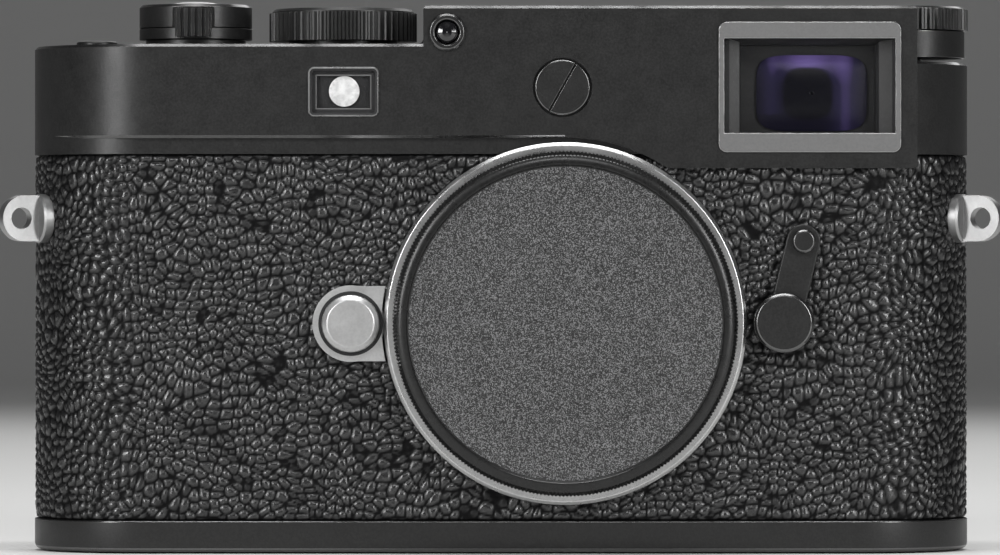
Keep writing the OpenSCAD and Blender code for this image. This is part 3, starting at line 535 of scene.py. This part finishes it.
# painted reflection: the finder lens's colour holds the purple reflection of its coating, brightest towards
# the top, with lighter bands at the sides and dark in the pupil
reflection_glass, tree, sh = material("finder_glass_painted_reflection", (0.01, 0.01, 0.013), 0.3, spec=0.1)
att = tree.nodes.new("ShaderNodeAttribute")
att.attribute_name = "painted_coating_reflection"
ramp = tree.nodes.new("ShaderNodeValToRGB")
ramp.color_ramp.elements[0].color = (0.006, 0.006, 0.009, 1)
ramp.color_ramp.elements[1].color = (0.16, 0.115, 0.33, 1)
mid = ramp.color_ramp.elements.new(0.45)
mid.color = (0.02, 0.017, 0.045, 1)
tree.links.new(att.outputs["Fac"], ramp.inputs["Fac"])
tree.links.new(ramp.outputs["Color"], sh.inputs["Base Color"])
tree.links.new(remap(tree, noise(tree, 300, 2), 0.3, 0.7, 0.28, 0.32), sh.inputs["Roughness"])
lens_piece, pts = cushion_glass("finder_front_lens", 16.3, 11.2, *FINDER_LENS, -12.9, 1.2, reflection_glass, "camera")
dx, dz = pts[:, 0] - PUPIL[0], pts[:, 2] - PUPIL[1]
pupil = (np.abs(dx / 3.6) ** 3.2 + np.abs(dz / 3.75) ** 3.2) ** (1 / 3.2)
rim = np.clip((pupil - 0.96) / 0.1, 0, 1)
# painted reflection: a purple sheen towards the top and lighter bands at the sides
top_reflection = 0.12 + 0.88 * np.exp(-((dx / 4.6) ** 2)) * np.clip((dz - 1.2) / 3.6, 0, 1)
side = np.exp(-(((dx - 5.6) / 1.8) ** 2)) * 0.42 + np.exp(-(((dx + 5.4) / 1.3) ** 2)) * 0.25 * (dz > -3)
att = lens_piece.data.attributes.new("painted_coating_reflection", "FLOAT", "POINT")
att.data.foreach_set("value", (rim * np.clip(top_reflection + side, 0, 1)).astype(np.float32))
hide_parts("finder_lens")


# ---------- swept rims ----------


def rim_sweep(name, w, h, corner, x, z, profile, mats, body, steps=8):
    """A ring swept round a rounded rectangle w by h at (x, z). Each profile row is (inset, y, look): the
    outline shrinks by inset at depth y, and look numbers the material of the band that follows."""
    q = np.linspace(0, math.pi / 2, steps)
    cols = []
    for k, (sx, sz) in enumerate(((1, 1), (-1, 1), (-1, -1), (1, -1))):
        a = q + k * math.pi / 2
        cols.append(np.stack([np.full(steps, sx), np.full(steps, sz), np.cos(a), np.sin(a)], -1))
    c = np.concatenate(cols)
    pts = []
    for inset, y, _ in profile:
        r = max(corner - inset, 0.05)
        px = x + c[:, 0] * (w / 2 - inset - r) + c[:, 2] * r
        pz = z + c[:, 1] * (h / 2 - inset - r) + c[:, 3] * r
        pts.append(np.stack([px, np.full(len(c), y), pz], -1))
    faces = cells(len(profile), len(c), wrap_v=True, flip=True)
    ob = build(name, np.concatenate(pts), faces, mats[0], body, 30)
    for m in mats[1:]:
        ob.data.materials.append(m)
    looks = np.repeat([row[2] for row in profile[:-1]], len(c)).astype(np.int32)
    ob.data.polygons.foreach_set("material_index", looks)
    bm = bmesh.new()
    bm.from_mesh(ob.data)
    bmesh.ops.recalc_face_normals(bm, faces=bm.faces)
    bm.to_mesh(ob.data)
    bm.free()
    return ob


window = rim_sweep("rangefinder_rim", 10.4, 7.3, 0.9, *RANGEFINDER, [
    (0.25, -16.8, 1), (0.25, -18.2, 0), (0.0, -18.25, 0), (0.02, -18.5, 0), (0.08, -18.58, 0),
    (0.26, -18.58, 1), (0.32, -18.5, 1), (0.55, -18.42, 1), (0.62, -17.6, 1), (1.1, -17.55, 2),
    (1.28, -17.52, 1), (1.3, -16.8, 1), (0.25, -16.8, 1)],
    [MAT["bright"], MAT["matt"], MAT["grey_frame"]], "camera")
# painted shadow: a thin matt black ring laid in the gap round the lock button, where shade falls
gap_shadow = rim_sweep("lock_gap_painted_shadow", 9.5, 9.5, 4.75, *LOCK, [
    (0.0, -19.19, 0), (0.02, -19.23, 0), (0.48, -19.23, 0)], [MAT["matt"]], "camera", 16)
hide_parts("rangefinder_frame")

# ---------- housing with rounded edges ----------

RIM = {"top_cover": MAT["edge"], "base_plate": MAT["edge"], "finder_frame": MAT["grey_edge"],
       "lever_knob": MAT["edge"], "lever_grip": MAT["edge"], "cover_screw": MAT["edge"],
       "release_collar": MAT["edge"], "iso_knob": MAT["edge"], "lamp_ring": MAT["edge"],
       "iso_stem": MAT["edge"]}

EDGE_WIDTHS = (
    ("top_cover", 0.22), ("base_plate", 0.2), ("finder_frame", 0.18), ("cover_screw", 0.1),
    ("lock_housing", 0.35), ("lock_button", 0.15), ("frame_lever", 0.25), ("lever_knob", 0.15),
    ("lever_grip", 0.12), ("lug_left", 0.35), ("lug_right", 0.35), ("lens_mount", 0.15),
    ("release_collar", 0.12), ("release_base", 0.12), ("release_button", 0.2), ("function_button", 0.12),
    ("iso_stem", 0.15), ("iso_knob", 0.08), ("shutter_dial", 0.08), ("accessory_shoe", 0.15),
    ("display_frame", 0.15), ("play_button", 0.3), ("menu_button", 0.3), ("direction_pad", 0.25),
    ("centre_button", 0.2), ("thumb_wheel", 0.1), ("eyepiece_ring", 0.15), ("lamp_ring", 0.08),
)
for node, width in EDGE_WIDTHS:
    edged(node, width, MAT[BY_NODE[node]], rim=RIM.get(node))


# ---------- figures on the dials ----------

figure_paint = matt_plastic("figure_white", (0.75, 0.75, 0.73), 0.5, 1500, 0.002)


def figures(name, words, centre, radius, height, z, body, start=90.0, sweep=360.0):
    """Plain figures set round a dial's top: each word is a flat letter mesh, turned so that its foot points
    at the dial's middle."""
    bm = bmesh.new()
    for k, word in enumerate(words):
        curve = bpy.data.curves.new(name, "FONT")
        curve.body = word
        curve.size = height * MM
        curve.align_x = "CENTER"
        curve.align_y = "CENTER"
        curve.resolution_u = 3
        curve.extrude = 0.01 * MM
        temp = bpy.data.objects.new(name, curve)
        me = bpy.data.meshes.new_from_object(temp)
        ang = math.radians(start - sweep * k / len(words))
        place = Matrix.Translation(((centre[0] + radius * math.cos(ang)) * MM,
                                    (centre[1] + radius * math.sin(ang)) * MM, z * MM))
        me.transform(place @ Matrix.Rotation(ang - math.pi / 2, 4, "Z"))
        bm.from_mesh(me)
        bpy.data.objects.remove(temp)
        bpy.data.curves.remove(curve)
        bpy.data.meshes.remove(me)
    me = bpy.data.meshes.new(name)
    bm.to_mesh(me)
    bm.free()
    me.materials.clear()
    me.materials.append(figure_paint)
    ob = bpy.data.objects.new(name, me)
    bpy.context.scene.collection.objects.link(ob)
    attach(ob, body)
    return ob


figures("speed_figures", ["A", "4000", "2000", "1000", "500", "250", "125", "60", "30", "15", "8", "B"],
        SPEED_DIAL, 8.8, 1.35, 80.215, "speed_dial", -90)
figures("iso_figures", ["A", "64", "200", "400", "800", "1600", "3200", "6400", "M"],
        ISO_DIAL, 6.9, 1.5, 80.615, "iso_dial", 180)


# ---------- camera, lights, floor ----------


def lamp(name, place, aim, size, power, color=(1, 1, 1)):
    """A soft box: a rectangular area light at place, in metres, facing aim."""
    data = bpy.data.lights.new(name, "AREA")
    data.shape = "RECTANGLE"
    data.size, data.size_y = size
    data.energy = power
    data.color = color
    ob = bpy.data.objects.new(name, data)
    ob.location = place
    ob.rotation_euler = (Vector(aim) - Vector(place)).to_track_quat("-Z", "Y").to_euler()
    bpy.context.scene.collection.objects.link(ob)


lamp("left_strip", (-0.52, -0.60, 0.27), (0, 0, 0.04), (0.17, 0.42), 3.0)
lamp("right_strip", (0.52, -0.60, 0.27), (0, 0, 0.04), (0.17, 0.42), 2.8)
lamp("top_strip", (0.0, -0.10, 0.75), (0, -0.01, 0.05), (0.55, 0.10), 3.0)
lamp("back_box", (0.1, 0.7, 0.6), (0, 0, 0.04), (0.8, 0.5), 2.6)
lamp("front_strip", (0.0, -1.35, 0.95), (0, 0, 0.04), (0.5, 0.12), 3.4)

world = bpy.data.worlds.new("studio")
bpy.context.scene.world = world
world.use_nodes = True
world.node_tree.nodes["Background"].inputs["Color"].default_value = (0.9, 0.9, 0.92, 1)
world.node_tree.nodes["Background"].inputs["Strength"].default_value = 0.08

turn = np.linspace(0.1, math.pi / 2, 14)
sweep_y = np.concatenate([[-2.5, -1.0, 0.0, 1.6], 1.6 + 1.0 * np.sin(turn), [2.6, 2.6]])
sweep_z = np.concatenate([[0, 0, 0, 0], 1.0 - 1.0 * np.cos(turn), [2.0, 3.4]])
sweep_x = np.array([-3.0, 0.0, 3.0])
PX, PY = np.meshgrid(sweep_x, sweep_y, indexing="ij")
PZ = np.broadcast_to(sweep_z - 0.0002, PX.shape)
floor_mesh = bpy.data.meshes.new("floor")
floor_mesh.from_pydata(np.stack([PX, PY, PZ], -1).reshape(-1, 3).tolist(), [],
                       cells(3, len(sweep_y)).tolist())
floor_mesh.shade_smooth()
floor_mesh.materials.append(material("pale_floor", (0.78, 0.78, 0.77), 0.6)[0])
floor = bpy.data.objects.new("floor", floor_mesh)
bpy.context.scene.collection.objects.link(floor)

cam_data = bpy.data.cameras.new("camera")
cam_data.sensor_width = 36
cam_data.lens = 245.7
cam = bpy.data.objects.new("camera", cam_data)
cam.location = (-0.00015, -1.0182, 0.04035)
cam.rotation_euler = (math.pi / 2, 0, 0)
bpy.context.scene.collection.objects.link(cam)
bpy.context.scene.camera = cam
bpy.context.scene.view_settings.view_transform = "Standard"
